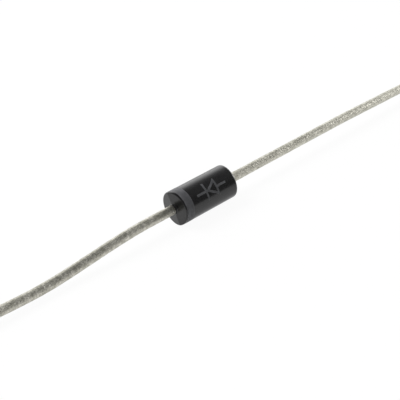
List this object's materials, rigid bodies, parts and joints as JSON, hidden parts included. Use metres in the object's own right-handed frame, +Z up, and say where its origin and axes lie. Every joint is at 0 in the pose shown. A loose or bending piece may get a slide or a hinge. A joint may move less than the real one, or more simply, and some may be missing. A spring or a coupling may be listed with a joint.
{
  "type": "axial rectifier diode",
  "caption": "Axial-lead rectifier diode in a moulded black epoxy cylinder with a grey cathode band and long tinned wire leads, for through-hole circuit boards.",
  "frame": {"origin": "on the resting plane, below the middle of the moulded body", "axes": "+X along the lead axis from cathode to anode, +Z up as the diode lies"},
  "size_m": [0.0602, 0.0026, 0.0026],
  "materials": {
    "epoxy": "moulded black epoxy, satin gloss",
    "tinned_wire": "dull tinned copper, finely grained and pitted",
    "silicon": "sawn silicon with plated faces",
    "solder": "solidified solder",
    "silicone": "cured silicone junction coat",
    "ink": "printed grey ink, thin"
  },
  "bodies": {
    "root": {"epoxy_body": "epoxy", "cathode_lead": "tinned_wire", "anode_lead": "tinned_wire", "silicon_die": "silicon", "cathode_solder": "solder", "anode_solder": "solder", "junction_coating": "silicone", "cathode_band": "ink", "polarity_mark": "ink"}
  },
  "joints": []
}
